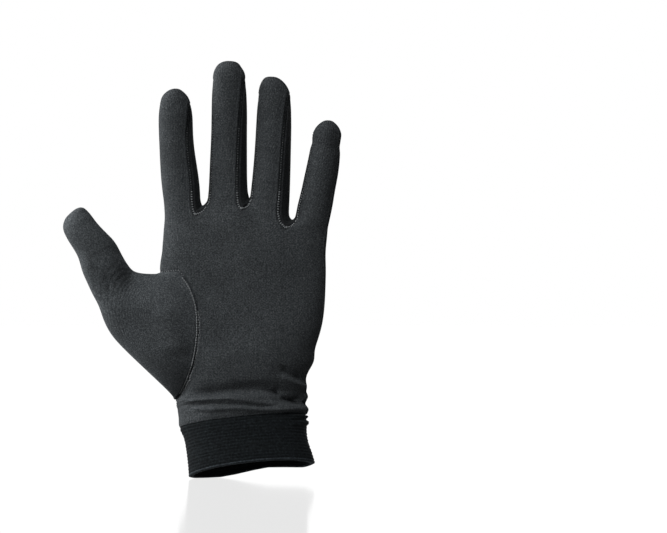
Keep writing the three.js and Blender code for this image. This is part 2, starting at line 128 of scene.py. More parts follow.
def addCamera():
    data = bpy.data.cameras.new("studioCamera")
    data.sensor_width = view["sensor"]
    wide = view["framePx"][0] / view["pxPerMm"] * mm
    data.lens = view["lens"]
    away = view["lens"] / data.sensor_width * wide
    middleX = (view["framePx"][0] / 2 - view["originPx"][0]) / view["pxPerMm"] * mm
    middleZ = (view["originPx"][1] - view["framePx"][1] / 2) / view["pxPerMm"] * mm
    data.clip_end = view["farthest"]
    camera = bpy.data.objects.new("studioCamera", data)
    bpy.context.collection.objects.link(camera)
    camera.location = (middleX, view["aimDepth"] * mm - away, middleZ)
    camera.rotation_euler = (math.radians(90), 0, 0)
    bpy.context.scene.camera = camera


# Three soft lamps: one behind the left edge that lifts the outline there, a low one on the left that
# lights the palm and leaves what faces right in shade, and a high one that brings out the folds.
# Azimuth, height above the floor and softness are in degrees.
lamps = {
    "edgeLamp": {"azimuth": -100, "height": 15, "strength": 4.2, "softness": 40},
    "leftLamp": {"azimuth": -45, "height": 8, "strength": 1.75, "softness": 25},
    "highLamp": {"azimuth": -15, "height": 60, "strength": 1.75, "softness": 20},
}
sweep = {"seen": (1, 1, 1, 1), "shed": (0.93, 0.97, 1, 1), "fill": 0.04}


def addLight():
    for name, lamp in lamps.items():
        data = bpy.data.lights.new(name, "SUN")
        data.energy = lamp["strength"]
        data.angle = math.radians(lamp["softness"])
        key = bpy.data.objects.new(name, data)
        bpy.context.collection.objects.link(key)
        turn, up = math.radians(lamp["azimuth"]), math.radians(lamp["height"])
        towards = Vector((math.sin(turn) * math.cos(up), -math.cos(turn) * math.cos(up), math.sin(up)))
        key.rotation_euler = towards.to_track_quat("Z", "Y").to_euler()

    # the white sweep behind the object is what the camera sees, and it lights the object less
    world = bpy.data.worlds.new("whiteSweep")
    bpy.context.scene.world = world
    world.use_nodes = True
    tree = world.node_tree
    tree.nodes.clear()
    seen = addNode(tree, "ShaderNodeLightPath")
    direct = addNode(
        tree, "ShaderNodeMath", {"operation": "MAXIMUM"},
        {0: seen.outputs["Is Camera Ray"], 1: seen.outputs["Is Glossy Ray"]})
    white = addNode(tree, "ShaderNodeBackground", {"Color": sweep["seen"], "Strength": 1.0})
    soft = addNode(tree, "ShaderNodeBackground", {"Color": sweep["shed"], "Strength": sweep["fill"]})
    mixed = addNode(
        tree, "ShaderNodeMixShader", None,
        {0: direct.outputs[0], 1: soft.outputs[0], 2: white.outputs[0]})
    addNode(tree, "ShaderNodeOutputWorld", None, {0: mixed.outputs[0]})
    bpy.context.scene.view_settings.view_transform = "Standard"


floorSheet = {
    "size": 12.0, "level": -6.2 * mm, "colour": "#1a1a1a", "glow": 1.12, "gloss": 0.3, "roughness": 0.1,
}


def addFloor():
    bpy.ops.object.select_all(action="DESELECT")
    bpy.ops.mesh.primitive_plane_add(size=floorSheet["size"], location=(0, 0, floorSheet["level"]))
    floor = bpy.context.object
    floor.name = "studioFloor"
    # backlit white acrylic board: even white with a weak blurred reflection
    board = bpy.data.materials.new("backlit white board")
    board.use_nodes = True
    tree = board.node_tree
    tree.nodes.clear()
    paint = addNode(tree, "ShaderNodeBsdfDiffuse", {"Color": srgb(floorSheet["colour"])})
    glow = addNode(tree, "ShaderNodeEmission", {"Strength": floorSheet["glow"]})
    body = addNode(tree, "ShaderNodeAddShader", None, {0: paint.outputs[0], 1: glow.outputs[0]})
    gloss = addNode(tree, "ShaderNodeBsdfGlossy", {"Roughness": floorSheet["roughness"]})
    mixed = addNode(
        tree, "ShaderNodeMixShader", {0: floorSheet["gloss"]},
        {1: body.outputs[0], 2: gloss.outputs[0]})
    addNode(tree, "ShaderNodeOutputMaterial", None, {0: mixed.outputs[0]})
    floor.visible_diffuse = False    # it shows white, and throws no light up on the glove
    floor.data.materials.append(board)


addCamera()
addLight()
addFloor()
print("camera, light and floor ready")


# materials

def newMaterial(name):
    material = bpy.data.materials.new(name)
    material.use_nodes = True
    return material, material.node_tree, material.node_tree.nodes["Principled BSDF"]


# Plain jersey knit of dull textured yarn in charcoal. Its face shows upright wales of small V loops,
# which the eye reads as a fine grain, and the yarn's own fuzz keeps it matt. Real wales are about
# 1 mm apart; they are drawn 1.9 mm apart here, as that is as fine as the picture can show, and a wander
# of part of a wale keeps the picture's own rows of dots from beating with them.
# Sizes are in mm; tone is how light a finish is beside the hand's own, and on the thumb and the strips it is
# painted light and painted shade.
jersey = {
    "colour": "#393c3e", "deep": "#272a2c", "fleck": "#4e5153", "grain": 0.72, "cloud": 16,
    "wale": 1.9, "course": 1.7, "wander": 0.9, "wanderSize": 6, "loops": 1.3, "fuzz": 1.6, "bump": 0.25,
    "roughness": 0.88, "specular": 0.06, "sheen": 0.04, "sheenRoughness": 0.5, "sheenTint": "#8d9296",
}


def jerseyKnit(name, uvName, tone=1.0):
    material, tree, shader = newMaterial(name)
    uv = addNode(tree, "ShaderNodeUVMap", {"uv_map": uvName})
    place = addNode(tree, "ShaderNodeTexCoord")
    drift = addNode(
        tree, "ShaderNodeTexNoise", {"Scale": 1 / (jersey["wanderSize"] * mm), "Detail": 2.0},
        {"Vector": place.outputs["Object"]})
    shift = addNode(
        tree, "ShaderNodeVectorMath", {"operation": "SCALE", "Scale": jersey["wander"] * mm},
        {0: drift.outputs["Color"]})
    moved = addNode(
        tree, "ShaderNodeVectorMath", {"operation": "ADD"},
        {0: uv.outputs[0], 1: shift.outputs[0]})
    split = addNode(tree, "ShaderNodeSeparateXYZ", None, {0: moved.outputs[0]})
    # a loop's two legs lean together: the course's phase follows the distance from the wale's middle
    across = addNode(
        tree, "ShaderNodeMath", {"operation": "MULTIPLY", 1: 1 / (jersey["wale"] * mm)},
        {0: split.outputs[0]})
    inWale = addNode(tree, "ShaderNodeMath", {"operation": "PINGPONG", 1: 0.5}, {0: across.outputs[0]})
    along = addNode(
        tree, "ShaderNodeMath", {"operation": "MULTIPLY", 1: 1 / (jersey["course"] * mm)},
        {0: split.outputs[1]})
    leaning = addNode(
        tree, "ShaderNodeMath", {"operation": "ADD"},
        {0: along.outputs[0], 1: inWale.outputs[0]})
    inCourse = addNode(tree, "ShaderNodeMath", {"operation": "PINGPONG", 1: 0.5}, {0: leaning.outputs[0]})
    phase = addNode(tree, "ShaderNodeMath", {"operation": "MULTIPLY", 1: 2 * math.pi}, {0: inWale.outputs[0]})
    ribs = addNode(tree, "ShaderNodeMath", {"operation": "SINE"}, {0: phase.outputs[0]})
    loops = addNode(
        tree, "ShaderNodeMath", {"operation": "MULTIPLY", 1: jersey["loops"]},
        {0: inCourse.outputs[0]})
    height = addNode(tree, "ShaderNodeMath", {"operation": "ADD"}, {0: ribs.outputs[0], 1: loops.outputs[0]})
    yarn = addNode(
        tree, "ShaderNodeTexNoise", {"Scale": 1 / (jersey["grain"] * mm), "Detail": 2.0, "Roughness": 0.5},
        {"Vector": place.outputs["Object"]})
    cloud = addNode(
        tree, "ShaderNodeTexNoise", {"Scale": 1 / (jersey["cloud"] * mm), "Detail": 2.0},
        {"Vector": place.outputs["Object"]})
    rough = addNode(
        tree, "ShaderNodeMath", {"operation": "MULTIPLY", 1: jersey["fuzz"]},
        {0: yarn.outputs["Fac"]})
    relief = addNode(
        tree, "ShaderNodeMath", {"operation": "ADD"},
        {0: height.outputs[0], 1: rough.outputs[0]})
    fleck = addNode(tree, "ShaderNodeValToRGB", None, {0: yarn.outputs["Fac"]})
    colours = (jersey["deep"], jersey["colour"], jersey["fleck"])
    setRamp(fleck, [(at, srgb(colour)) for at, colour in zip((0.32, 0.52, 0.72), colours)])
    # a cloud of random tone, scaled by tone, which on the thumb and the strips is painted light and painted
    # shade
    cloudAndPaintedTone = addNode(
        tree, "ShaderNodeMapRange",
        {"From Min": 0.35, "From Max": 0.65, "To Min": 0.88 * tone, "To Max": 1.1 * tone},
        {0: cloud.outputs["Fac"]})
    # darker where the knit's relief is low: painted shade in the hollows between the loops
    hollowShade = addNode(
        tree, "ShaderNodeMapRange", {"From Min": 0.0, "From Max": 1.2, "To Min": 0.72, "To Max": 1.12},
        {0: height.outputs[0]})
    shade = addNode(
        tree, "ShaderNodeMath", {"operation": "MULTIPLY"},
        {0: cloudAndPaintedTone.outputs[0], 1: hollowShade.outputs[0]})
    colour = addNode(
        tree, "ShaderNodeVectorMath", {"operation": "SCALE"},
        {0: fleck.outputs[0], "Scale": shade.outputs[0]})
    bump = addNode(
        tree, "ShaderNodeBump", {"Strength": 0.5, "Distance": jersey["bump"] * mm},
        {"Height": relief.outputs[0]})
    tree.links.new(colour.outputs[0], shader.inputs["Base Color"])
    tree.links.new(bump.outputs[0], shader.inputs["Normal"])
    shader.inputs["Roughness"].default_value = jersey["roughness"]
    shader.inputs["Specular IOR Level"].default_value = jersey["specular"]
    shader.inputs["Sheen Weight"].default_value = jersey["sheen"]
    shader.inputs["Sheen Roughness"].default_value = jersey["sheenRoughness"]
    shader.inputs["Sheen Tint"].default_value = srgb(jersey["sheenTint"])
    return material


# Elastic rib knit, nearly black: covered rubber threads run round the cuff and pull it into fine
# ridges 1.9 mm apart, with the knit's wales faint across them. The colours are the deep one, the yarn's
# own and the fleck; at the mouth the rim is painted paler, a painted highlight along its edge.
rib = {
    "black": ("#0a0c0d", "#141719", "#202527"), "paintedRimHighlight": ("#1d2022", "#2f3438", "#444d50"),
    "wale": 1.6, "grain": 1.2, "bump": 0.3, "roughness": 0.92, "specular": 0.05,
}


def ribKnit(name, uvName, colours):
    material, tree, shader = newMaterial(name)
    uv = addNode(tree, "ShaderNodeUVMap", {"uv_map": uvName})
    place = addNode(tree, "ShaderNodeTexCoord")
    split = addNode(tree, "ShaderNodeSeparateXYZ", None, {0: uv.outputs[0]})
    across = addNode(
        tree, "ShaderNodeMath", {"operation": "MULTIPLY", 1: 1 / (rib["wale"] * mm)},
        {0: split.outputs[0]})
    wales = addNode(tree, "ShaderNodeMath", {"operation": "PINGPONG", 1: 0.5}, {0: across.outputs[0]})
    yarn = addNode(
        tree, "ShaderNodeTexNoise", {"Scale": 1 / (rib["grain"] * mm), "Detail": 3.0, "Roughness": 0.65},
        {"Vector": place.outputs["Object"]})
    relief = addNode(
        tree, "ShaderNodeMath", {"operation": "ADD"},
        {0: wales.outputs[0], 1: yarn.outputs["Fac"]})
    fleck = addNode(tree, "ShaderNodeValToRGB", None, {0: yarn.outputs["Fac"]})
    setRamp(fleck, [(at, srgb(colour)) for at, colour in zip((0.34, 0.54, 0.74), colours)])
    bump = addNode(
        tree, "ShaderNodeBump", {"Strength": 0.6, "Distance": rib["bump"] * mm},
        {"Height": relief.outputs[0]})
    tree.links.new(fleck.outputs[0], shader.inputs["Base Color"])
    tree.links.new(bump.outputs[0], shader.inputs["Normal"])
    shader.inputs["Roughness"].default_value = rib["roughness"]
    shader.inputs["Specular IOR Level"].default_value = rib["specular"]
    return material


# Twisted sewing thread, one shade lighter than the cloth.
thread = {"dark": "#5c5f61", "pale": "#8b8e90", "twist": 0.6, "bump": 0.1, "roughness": 0.7, "specular": 0.15}


def threadFinish(name):
    material, tree, shader = newMaterial(name)
    place = addNode(tree, "ShaderNodeTexCoord")
    twist = addNode(
        tree, "ShaderNodeTexNoise", {"Scale": 1 / (thread["twist"] * mm), "Detail": 2.0},
        {"Vector": place.outputs["Object"]})
    tone = addNode(tree, "ShaderNodeValToRGB", None, {0: twist.outputs["Fac"]})
    setRamp(tone, [(0.3, srgb(thread["dark"])), (0.7, srgb(thread["pale"]))])
    bump = addNode(
        tree, "ShaderNodeBump", {"Strength": 0.4, "Distance": thread["bump"] * mm},
        {"Height": twist.outputs["Fac"]})
    tree.links.new(tone.outputs[0], shader.inputs["Base Color"])
    tree.links.new(bump.outputs[0], shader.inputs["Normal"])
    shader.inputs["Roughness"].default_value = thread["roughness"]
    shader.inputs["Specular IOR Level"].default_value = thread["specular"]
    return material


clothUv = "clothUv"
seamThread = threadFinish("grey sewing thread")
handJersey = jerseyKnit("charcoal jersey knit", clothUv)
# the thumb's copy is painted lighter: painted light where the lamps fall on the thumb's ball
thumbPaintedLightJersey = jerseyKnit("charcoal jersey knit, painted lighter", clothUv, tone=1.45)
# the strips' copy is painted darker: painted shade on the strips, which face away from the lamps
stripPaintedShadeJersey = jerseyKnit("charcoal jersey knit, strips", clothUv, tone=0.42)
insideJersey = jerseyKnit("charcoal jersey knit, purl side", clothUv, tone=0.7)
elasticRib = ribKnit("black elastic rib knit", clothUv, rib["black"])
paintedRimHighlight = ribKnit("black elastic rib knit, selvedge", clothUv, rib["paintedRimHighlight"])
print("materials ready")


# cloth from the solids

# How a solid is made into cloth: vertices closer than weld are one, a cut edge keeps its crease, and a
# border that turns far enough below the fingers keeps its corner. Lengths are in mm, angles in degrees.
clothRules = {
    "weld": 0.02, "wallSlack": 0.004, "faceAngle": 75, "shapeAngle": 100, "crease": 0.75,
    "cornerBelow": 130, "straight": -0.75,
}


def wallParts(piece, wall):
    # which faces are the outside, the rim or the inside of a cut piece; a rim face has an edge as long
    # as the wall is thick
    mesh = piece.data
    points = readPoints(piece)
    ends = np.array([edge.vertices[:] for edge in mesh.edges])
    long = np.linalg.norm(points[ends[:, 0]] - points[ends[:, 1]], axis=1)
    acrossWall = np.abs(long - wall) < clothRules["wallSlack"] * mm
    keyOf = {tuple(sorted(pair)): i for i, pair in enumerate(ends.tolist())}
    part = np.full(len(mesh.polygons), -1)
    edgeFaces = {}
    for face in mesh.polygons:
        keys = [keyOf[tuple(sorted(key))] for key in face.edge_keys]
        if any(acrossWall[key] for key in keys):
            part[face.index] = 1
        for key in keys:
            edgeFaces.setdefault(key, []).append(face.index)
    firstSheet = 10
    group = firstSheet
    for start in range(len(part)):
        if part[start] != -1:
            continue
        part[start] = group
        stack = [start]
        while stack:
            for key in mesh.polygons[stack.pop()].edge_keys:
                for other in edgeFaces[keyOf[tuple(sorted(key))]]:
                    if part[other] == -1:
                        part[other] = group
                        stack.append(other)
        group += 1
    areas = {g: sum(f.area for f in mesh.polygons if part[f.index] == g) for g in range(firstSheet, group)}
    order = sorted(areas, key=areas.get, reverse=True)
    print("   ", piece.name, "sheets:", [round(areas[g] / mm ** 2) for g in order])
    part[part == order[0]] = 0
    part[part >= firstSheet] = 2
    return part, edgeFaces, ends


def keepCorners(piece, border, ends):
    # where a border turns far enough below the fingers, its corner stays sharp when it is subdivided
    points = readPoints(piece)
    ways = {}
    for key, kinds in border:
        a, b = ends[key]
        way = (points[b] - points[a]) / np.linalg.norm(points[b] - points[a])
        ways.setdefault((a, tuple(sorted(kinds))), []).append(way)
        ways.setdefault((b, tuple(sorted(kinds))), []).append(-way)
    corner = piece.data.attributes.new("crease_vert", "FLOAT", "POINT")
    for start, pair in ways.items():
        turns = len(pair) == 2 and pair[0] @ pair[1] > clothRules["straight"]
        if turns and points[start[0]][2] < clothRules["cornerBelow"] * mm:
            corner.data[start[0]].value = 1.0


def clothCopy(nodeName, name, wall):
    # a copy of a solid made ready as cloth, and its seam as pairs of points
    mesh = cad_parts[nodeName].data.copy()
    mesh.materials.clear()
    piece = bpy.data.objects.new(name, mesh)
    bpy.context.collection.objects.link(piece)
    selectOnly(piece)
    bpy.ops.mesh.customdata_custom_splitnormals_clear()
    bpy.ops.object.mode_set(mode="EDIT")
    bpy.ops.mesh.select_all(action="SELECT")
    bpy.ops.mesh.remove_doubles(threshold=clothRules["weld"] * mm)
    bpy.ops.mesh.mark_sharp(clear=True)
    bpy.ops.mesh.tris_convert_to_quads(
        face_threshold=math.radians(clothRules["faceAngle"]),
        shape_threshold=math.radians(clothRules["shapeAngle"]), topology_influence=1.0)
    bpy.ops.object.mode_set(mode="OBJECT")
    part, edgeFaces, ends = wallParts(piece, wall * mm)
    # slots: 0 outside, 1 rim, 2 inside
    for face in piece.data.polygons:
        face.material_index = int(part[face.index])
        face.use_smooth = True
    crease = piece.data.attributes.new("crease_edge", "FLOAT", "EDGE")
    border = []
    for key, faces in edgeFaces.items():
        kinds = {int(part[f]) for f in faces}
        if len(kinds) == 2:
            crease.data[key].value = clothRules["crease"]
            border.append((key, kinds))
    outside = piece.vertex_groups.new(name="outside")
    onOutside = {v for f in piece.data.polygons if part[f.index] == 0 for v in f.vertices}
    outside.add(list(onOutside), 1.0, "REPLACE")
    keepCorners(piece, border, ends)
    points = readPoints(piece)
    seam = [tuple(points[ends[key]]) for key, kinds in border if kinds == {0, 1}]
    return piece, seam


def flatArea(corners):
    x, y = corners.T
    return abs((x * np.roll(y, -1) - y * np.roll(x, -1)).sum()) / 2


def unwrapCloth(piece, along):
    # each sheet is laid flat as it was cut, and turned so that the wales run along
    layer = piece.data.uv_layers.new(name=clothUv)
    piece.data.uv_layers.active = layer
    selectOnly(piece)
    bpy.ops.object.mode_set(mode="EDIT")
    bpy.ops.mesh.select_mode(type="EDGE")
    bpy.ops.mesh.select_all(action="DESELECT")
    bpy.ops.object.mode_set(mode="OBJECT")
    faces = piece.data.polygons
    edges = {tuple(sorted(e.vertices)): e for e in piece.data.edges}
    kinds = {}
    for face in faces:
        for key in face.edge_keys:
            kinds.setdefault(tuple(sorted(key)), set()).add(face.material_index)
    for key, kind in kinds.items():
        if len(kind) > 1:
            edges[key].use_seam = True
    bpy.ops.object.mode_set(mode="EDIT")
    bpy.ops.mesh.select_all(action="SELECT")
    bpy.ops.uv.unwrap(method="ANGLE_BASED", margin=0.0)
    bpy.ops.object.mode_set(mode="OBJECT")
    uv = np.empty(len(piece.data.loops) * 2)
    piece.data.uv_layers[clothUv].data.foreach_get("uv", uv)
    uv = uv.reshape(-1, 2)
    points = readPoints(piece)
    along = np.array(along, float)
    side = np.cross(along, (0, 1, 0))
    side /= np.linalg.norm(side)
    for kind in (0, 1, 2):
        loops = np.array([i for f in faces if f.material_index == kind for i in f.loop_indices])
        places = points[[piece.data.loops[int(i)].vertex_index for i in loops]]
        flat = uv[loops] - uv[loops].mean(axis=0)
        realArea = sum(f.area for f in faces if f.material_index == kind)
        mapArea = sum(flatArea(uv[list(f.loop_indices)]) for f in faces if f.material_index == kind)
        size = math.sqrt(realArea / mapArea)
        # the turn that lines the sheet's own height up with the cloth's direction
        up = (places - places.mean(axis=0)) @ along
        fit = np.linalg.lstsq(flat, up, rcond=None)[0]
        fit /= np.linalg.norm(fit)
        turn = np.array([[fit[1], -fit[0]], [fit[0], fit[1]]])
        uv[loops] = (flat @ turn.T) * size
    piece.data.uv_layers[clothUv].data.foreach_set("uv", uv.ravel())


def seamTree(seam, step=0.5 * mm):
    # points along a seam, close together, to measure a vertex's distance from it
    dense = []
    for a, b in seam:
        count = max(1, int(np.linalg.norm(b - a) / step))
        dense += [a + (b - a) * i / count for i in range(count)]
    tree = kdtree.KDTree(len(dense))
    for i, place in enumerate(dense):
        tree.insert(place, i)
    tree.balance()
    return tree


def distances(points, tree):
    return np.array([tree.find(place)[2] for place in points])


# the form of the worn cloth

# How the cloth stands out from or sinks into the solids, as strokes drawn on the palm side. Each point
# of a stroke is (x, z) in mm, height is in mm out of the cloth and width is half of the stroke's own.
strokeColumns = ("name", "height", "width", "points")
strokes = [dict(zip(strokeColumns, row)) for row in (
    ("ball of the hand", 1.6, 9.0, [(-30, 66), (-5, 68), (20, 64)]),
    ("waist", -1.8, 6.0, [(-34, 46), (-10, 47), (15, 48), (28, 47)]),
    ("upper valley", -3.2, 3.0, [(-33, 43.8), (-18, 45.2), (-6, 46.8), (4, 47.5), (10, 47), (16, 45)]),
    ("valley at the edge", -4.0, 3.5, [(13, 46.5), (20, 43.5), (27, 41.0), (34, 41.0)]),
    ("lower valley at the edge", -3.2, 2.4, [(18, 40.5), (25, 39.3), (34, 38.8)]),
    ("edge ridge", 1.8, 1.6, [(18, 54), (26, 50), (32, 47.5)]),
    ("edge crease", -1.9, 2.0, [(18, 59), (24, 56), (31, 53.0)]),
    ("upper ridge", 1.5, 1.4,
     [(-42, 39.5), (-33, 40.3), (-24, 41.5), (-13.5, 41.6), (-6, 40.9), (1, 40.4), (7.5, 39.4)]),
    ("middle valley", -1.8, 1.2, [(-34, 37.6), (-24, 38.2), (-9.5, 38), (1, 37.6), (8, 36.6), (16, 37)]),
    ("lower ridge", 1.5, 1.15,
     [(-32, 34.8), (-24, 34.9), (-15, 35.6), (-6, 35.9), (2, 35.1), (10, 35.1), (20, 34.8), (29.5, 35.2)]),
    ("small edge ridge", 1.0, 0.8, [(18, 38.6), (24, 36.8), (29, 35.8)]),
    ("patch crease", -0.6, 0.8, [(-31, 34.1), (-25, 33)]),
    ("hollow below the web", -1.6, 8.5, [(-86, 106), (-74, 108), (-66, 112)]),
    ("thumb's ball", 2.2, 9.0, [(-50, 98), (-44, 82), (-42, 66)]),
    ("index joint", -0.3, 3.0, [(-52, 188), (-40, 186)]),
    ("little joint", -0.3, 2.5, [(36, 190), (50, 187)]),
)]

# Where the outline of the worn cloth lies beside that of the solids, as soft pulls: centre, reach and
# move are in mm, seen from the palm's side.
pullColumns = ("name", "x", "z", "reach", "dx", "dz")
pulls = [dict(zip(pullColumns, row)) for row in (
    ("thumb's tip", -107, 151, 8, 1.0, -1.4),
    ("thumb's outer edge 1", -108, 136, 8, 0.8, 0),
    ("thumb's outer edge 2", -102, 123, 8, 1.2, 0),
    ("thumb's outer edge 3", -95, 110, 8, 1.2, 0),
    ("thumb's outer edge 4", -89, 97, 8, 1.0, 0),
    ("thumb's inner edge", -80, 132, 7, 0.7, 0),
    ("web", -52.5, 127, 6, 0.7, 0),
    ("index tip", -46, 222, 4, 0.9, 0),
    ("middle tip", -4, 236, 3, -0.7, 0),
    ("ring tip", 11, 229, 5, -1.0, 0),
    ("little tip, outer side", 53, 196, 3, 0.7, 0),
    ("little tip, inner side", 37, 196, 2.5, -0.5, 0),
    ("little neck, outer side", 53.5, 188.5, 2.2, -0.4, 0),
    ("little neck, inner side", 36, 191, 2, 0.4, 0),
    ("palm's outer edge", 45, 127, 9, -0.9, 0),
    ("heel's outer edge", 36, 62, 6, 2.2, 0),
    ("waist's outer edge", 33, 45, 5, 2.2, 0),
    ("wrist's thumb edge", -42, 35, 7, -1.9, 0),
    ("cuff's thumb edge", -40, 23.5, 6, -1.7, 0),
)]

# An even fullness makes up for what smoothing takes away, soft dents break up flat cloth, and the
# thumb's ball lies a little further back than its solid, in mm.
fullness = {
    "even": 0.2, "evenFrom": 2.5, "dents": 0.35, "dentSize": 17,
    "thumbBack": 5.5, "thumbFrom": -45, "thumbTo": -85, "thumbTop": 160, "thumbFade": 10,
}

# The wrist's oval, around which the folds stand out below the heel of the hand, in mm; a stroke is
# weaker over the last share of its length at both ends, down to a floor.
wrist = {"centre": (-3, 8), "half": (40, 17), "foldsTo": 9, "foldsFade": 10, "roundTo": 75, "roundFade": 20}
strokeEnds = {"share": 0.18, "floor": 0.35}


def strokeHeight(points):
    # the sum of all strokes at each point, weaker towards both ends of each
    flat = points[:, [0, 2]] / mm
    total = np.zeros(len(points))
    for stroke in strokes:
        line = np.array(stroke["points"], float)
        steps = np.linalg.norm(np.diff(line, axis=0), axis=1)
        near = np.full(len(points), 1e9)
        place = np.zeros(len(points))
        for i, step in enumerate(steps):
            way = (line[i + 1] - line[i]) / step
            t = np.clip((flat - line[i]) @ way, 0, step)
            away = np.linalg.norm(flat - line[i] - t[:, None] * way, axis=1)
            closer = away < near
            near[closer] = away[closer]
            place[closer] = (steps[:i].sum() + t[closer]) / steps.sum()
        ends = np.clip(np.minimum(place, 1 - place) / strokeEnds["share"], 0, 1)
        fade = strokeEnds["floor"] + (1 - strokeEnds["floor"]) * ends
        total += stroke["height"] * np.exp(-(near / stroke["width"]) ** 2) * fade
    return total


def formMove(points):
    # a move for each point that depends on its place alone, so that neighbours stay together
    x, y, z = (points / mm).T
    height = strokeHeight(points) * np.clip((wrist["foldsTo"] - y) / wrist["foldsFade"], 0, 1)
    # on the wrist the folds stand out all round, further up they go straight out to the front
    (middleX, middleY), (halfX, halfY) = wrist["centre"], wrist["half"]
    out = np.stack([(x - middleX) / halfX ** 2, (y - middleY) / halfY ** 2], axis=1)
    out /= np.maximum(np.linalg.norm(out, axis=1), 1e-6)[:, None]
    fan = np.clip((wrist["roundTo"] - z) / wrist["roundFade"], 0, 1)[:, None]
    out = out * fan + np.array([0, -1.0]) * (1 - fan)
    move = np.zeros_like(points)
    move[:, :2] = out * height[:, None]
    for pull in pulls:
        reach = np.exp(-((x - pull["x"]) ** 2 + (z - pull["z"]) ** 2) / pull["reach"] ** 2)
        move[:, 0] += pull["dx"] * reach
        move[:, 2] += pull["dz"] * reach
    dents = np.array([noise.noise(Vector(p / (fullness["dentSize"] * mm))) for p in points])
    move[:, 1] += fullness["dents"] * dents * np.where(y < middleY, -1, 1)
    back = np.clip((x - fullness["thumbFrom"]) / (fullness["thumbTo"] - fullness["thumbFrom"]), 0, 1)
    below = np.clip((fullness["thumbTop"] - z) / fullness["thumbFade"], 0, 1)
    move[:, 1] += fullness["thumbBack"] * back * back * (3 - 2 * back) * below
    return move * mm


# the glove's cut pieces

# Each piece: its node, how thick its wall is (mm), its slot, the direction its wales run in, its finish,
# and the box (mm) and share of that box that it was cut to as a flat piece.
cutColumns = ("name", "node", "wall", "slot", "along", "finish", "wide", "long", "share")
cutPieces = {row[0]: dict(zip(cutColumns, row)) for row in (
    ("palmCloth", "palm_panel", 1.0, "jersey", (0, 0, 1), handJersey, 112, 218, 0.70),
    ("backCloth", "back_panel", 1.0, "jersey", (0, 0, 1), handJersey, 116, 222, 0.74),
    ("indexMiddleStrip", "strip_index_middle", 1.0, "jersey", (0, 0, 1), stripPaintedShadeJersey, 12, 165, 0.85),
    ("middleRingStrip", "strip_middle_ring", 1.0, "jersey", (0, 0, 1), stripPaintedShadeJersey, 12, 160, 0.85),
    ("ringLittleStrip", "strip_ring_little", 1.0, "jersey", (0, 0, 1), stripPaintedShadeJersey, 12, 155, 0.85),
    ("thumbCloth", "thumb", 1.0, "jersey", (-0.62, 0, 0.78), thumbPaintedLightJersey, 112, 138, 0.62),
    ("cuffCloth", "cuff", 2.0, "rib", (0, 0, 1), elasticRib, 190, 28, 0.98),
)}

# How the cloth turns in at a seam, overlaps its neighbour there and stands up beside it, in mm.
# Where the thumb's seam runs out to the web it lies nearly flat.
seamRoll = {
    "overlap": 0.4, "turnIn": 0.9, "sideTurnIn": 0.35, "turnWidth": 0.8,
    "stand": 0.4, "standAt": 1.5, "standWidth": 0.7,
    "web": (-52, 115), "webReach": (9, 6), "webFlat": 0.8,
}


def rollSeams(piece, seam, plainSeam, share):
    # a plain side seam turns in less than the seams round the thumb and the strips
    points = readPoints(piece)
    normals = readNormals(piece)
    away = distances(points, seamTree(seam)) / mm
    beside = distances(points, seamTree(plainSeam)) / mm
    plain = np.clip((3 - (beside - away)) / 2, 0, 1)
    turnIn = seamRoll["turnIn"] * (1 - plain) + seamRoll["sideTurnIn"] * plain
    fromWeb = (points[:, [0, 2]] / mm - seamRoll["web"]) / seamRoll["webReach"]
    flatSeam = seamRoll["webFlat"] * np.exp(-(fromWeb ** 2).sum(axis=1))
    inward = turnIn * np.exp(-(away / seamRoll["turnWidth"]) ** 2) * (1 - flatSeam)
    stand = seamRoll["stand"] * np.exp(-((away - seamRoll["standAt"]) / seamRoll["standWidth"]) ** 2)
    full = fullness["even"] * np.clip(away / fullness["evenFrom"], 0, 1)
    move = np.where(share > 0.9, stand + full - inward, 0.0) * mm
    # the cut edge reaches a little into the neighbour, so that no light comes through
    edgeWays = np.zeros_like(points)
    for face in piece.data.polygons:
        if face.material_index == 1:
            edgeWays[list(face.vertices)] += face.normal
    lengths = np.linalg.norm(edgeWays, axis=1)
    edgeWays[lengths > 0] /= lengths[lengths > 0][:, None]
    writePoints(piece, points + normals * move[:, None] + edgeWays * seamRoll["overlap"] * mm)


# The fingers' roots run smoothly into the hand: their height falls from the index to the little finger.
roots = {"height": 152, "fall": 0.1, "reach": 18, "gain": 1.5, "factor": 0.5, "rounds": 8}


def softenRoots(piece):
    mesh = piece.data
    points = readPoints(piece) / mm
    rim = {v for f in mesh.polygons if f.material_index == 1 for v in f.vertices}
    group = piece.vertex_groups.new(name="roots")
    for v, (x, y, z) in enumerate(points):
        weight = 1 - abs(z - (roots["height"] - roots["fall"] * x)) / roots["reach"]
        if v not in rim and weight > 0:
            group.add([v], min(1, roots["gain"] * weight), "REPLACE")
    applyModifier(piece, "SMOOTH", factor=roots["factor"], iterations=roots["rounds"], vertex_group="roots")


made, seams = {}, {}
for name, settings in cutPieces.items():
    made[name], seams[name] = clothCopy(settings["node"], name, settings["wall"])
# the seams without strip or thumb beside them
plainSeams = {
    "palmCloth": seams["backCloth"] + seams["cuffCloth"],
    "backCloth": seams["palmCloth"] + seams["cuffCloth"],
}

for name, settings in cutPieces.items():
    if name == "cuffCloth":
        continue
    piece, seam = made[name], seams[name]
    if name in ("palmCloth", "backCloth"):
        softenRoots(piece)
    unwrapCloth(piece, settings["along"])
    applyModifier(piece, "SUBSURF", levels=3, render_levels=3, uv_smooth="PRESERVE_BOUNDARIES")
    rollSeams(piece, seam, plainSeams.get(name, seams["cuffCloth"]), readWeights(piece, "outside"))
    points = readPoints(piece)
    writePoints(piece, points + formMove(points))
    piece.vertex_groups.clear()
    for finish in (settings["finish"], settings["finish"], insideJersey):
        piece.data.materials.append(finish)
    print("  made", name, "with", len(piece.data.polygons), "faces")

